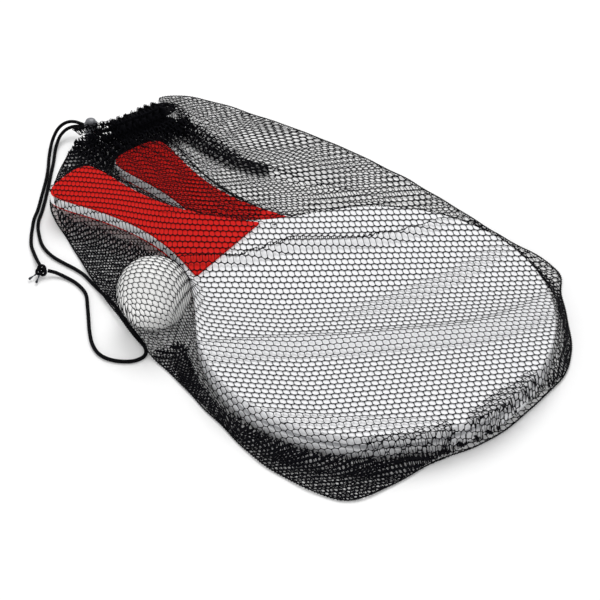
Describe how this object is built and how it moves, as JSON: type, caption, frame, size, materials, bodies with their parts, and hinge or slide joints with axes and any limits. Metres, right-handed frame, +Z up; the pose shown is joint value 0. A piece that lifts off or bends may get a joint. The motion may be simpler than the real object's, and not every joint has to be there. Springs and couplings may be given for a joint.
{
  "type": "beach paddle set",
  "caption": "Beach paddle set lying packed in a black drawstring net bag: round white paddles with red grips fanned on one another, a white ball, a knotted drawcord and a sprung cord lock",
  "frame": {"origin": "middle of the footprint of the filled bag on the surface that it lies on, without the free drawcord and the cord lock", "axes": "+X from the drawn mouth to the closed end of the bag, along the upper paddle from handle to face; +Z up; +Y towards the side where the lower paddle's handle fans out"},
  "size_m": [0.4434, 0.3004, 0.051],
  "materials": {
    "board": "white paint, satin",
    "grip": "red, satin",
    "ball": "white, matt",
    "net": "black knitted mesh",
    "seam": "black, matt",
    "cord": "black braid",
    "lock": "smoke grey",
    "steel": "bright wire"
  },
  "bodies": {
    "bag": {"bag_top_net": "net", "bag_bottom_net": "net", "side_seam_near": "seam", "side_seam_far": "seam", "bottom_seam": "seam", "hem_top_layer": "seam", "hem_bottom_layer": "seam", "cord_in_hem": "cord", "cord_short_strand": "cord", "cord_long_strand": "cord", "cord_knot": "cord", "cord_tail_short": "cord", "cord_tail_long": "cord"},
    "upper_paddle": {"upper_board": "board", "upper_grip_top": "grip", "upper_grip_bottom": "grip"},
    "lower_paddle": {"lower_board": "board", "lower_grip_top": "grip", "lower_grip_bottom": "grip"},
    "ball": {"ball": "ball"},
    "lock_body": {"lock_body": "lock", "lock_spring": "steel"},
    "lock_plunger": {"lock_plunger": "lock"}
  },
  "joints": [
    {"name": "upper_paddle_swing", "type": "hinge", "parent": "bag", "child": "upper_paddle", "pos_m": [0.0893, -0.0125, 0.0165], "axis": [0, 0, 1], "range_deg": [-0.5, 0.5]},
    {"name": "lower_paddle_swing", "type": "hinge", "parent": "bag", "child": "lower_paddle", "pos_m": [0.0893, -0.0125, 0.0062], "axis": [0, 0, 1], "range_deg": [-0.5, 0.5]},
    {"name": "ball_roll", "type": "hinge", "parent": "bag", "child": "ball", "pos_m": [-0.0377, -0.0805, 0.0252], "axis": [0, 0, 1], "continuous": true},
    {"name": "lock_slide", "type": "slide", "parent": "bag", "child": "lock_body", "axis": [-1, 0, 0], "range_m": [0, 0.004]},
    {"name": "lock_press", "type": "slide", "parent": "lock_body", "child": "lock_plunger", "axis": [0, 0, -1], "range_m": [0, 0.002], "stiffness_N_per_m": 500, "springref_m": -0.002, "deforming": ["lock_spring"]}
  ]
}
